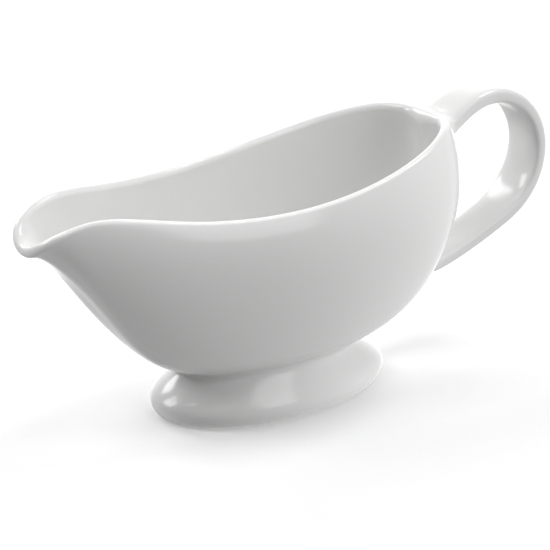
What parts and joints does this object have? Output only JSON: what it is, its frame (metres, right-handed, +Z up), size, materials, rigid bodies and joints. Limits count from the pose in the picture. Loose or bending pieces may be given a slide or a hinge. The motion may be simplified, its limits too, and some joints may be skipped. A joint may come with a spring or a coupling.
{
  "type": "gravy boat",
  "caption": "White glazed porcelain gravy boat with a dipping pouring spout, a strap handle and a low oval foot.",
  "frame": {"origin": "on the table, under the middle of the overall length", "axes": "+X from the spout to the handle, +Y across the boat, +Z up"},
  "size_m": [0.2341, 0.0822, 0.1057],
  "materials": {
    "porcelain": "gloss",
    "porcelain_foot": "gloss",
    "porcelain_handle": "gloss"
  },
  "bodies": {
    "root": {"bowl": "porcelain", "foot": "porcelain_foot", "handle": "porcelain_handle"}
  },
  "joints": []
}
